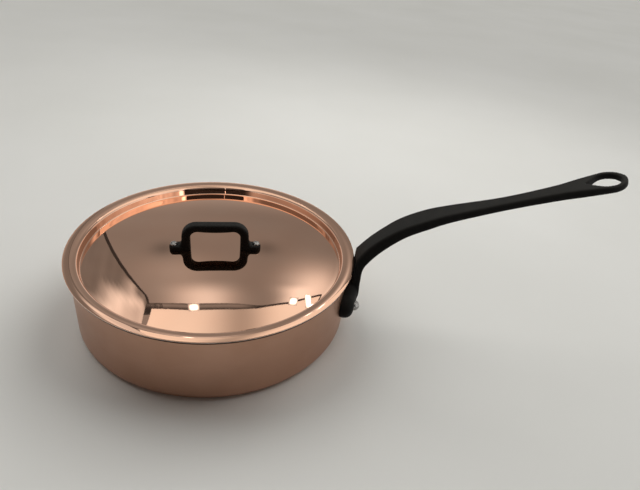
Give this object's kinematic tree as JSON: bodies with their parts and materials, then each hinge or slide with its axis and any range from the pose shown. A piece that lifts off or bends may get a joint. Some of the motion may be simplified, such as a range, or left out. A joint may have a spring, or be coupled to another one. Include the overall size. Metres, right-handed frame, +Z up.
{
  "type": "saute pan",
  "caption": "Round straight-sided copper saute pan lined with steel, with a long cast-iron handle riveted on and a sunken domed lid that lifts off by a loop.",
  "frame": {"origin": "centre of the flat base, on the plane that the pan stands on", "axes": "+X along the long handle, away from the pan; +Z up along the pan's axis"},
  "size_m": [0.4562, 0.2526, 0.1766],
  "materials": {
    "copper": "polished copper, softly satin on the wall",
    "steel_lining": "fine concentric brushing",
    "cast_iron": "fine-grained black casting, dull",
    "rivet_steel": "bright steel"
  },
  "bodies": {
    "pan": {"pan_copper_shell": "copper", "pan_steel_lining": "steel_lining", "handle": "cast_iron", "handle_rivet_1": "rivet_steel", "handle_rivet_2": "rivet_steel"},
    "lid": {"lid_copper_shell": "copper", "lid_steel_lining": "steel_lining", "lid_handle": "cast_iron", "lid_rivet_1": "rivet_steel", "lid_rivet_2": "rivet_steel"}
  },
  "joints": [
    {"name": "lid_lift", "type": "slide", "parent": "pan", "child": "lid", "axis": [0, 0, 1], "range_m": [0, 0.15]}
  ]
}
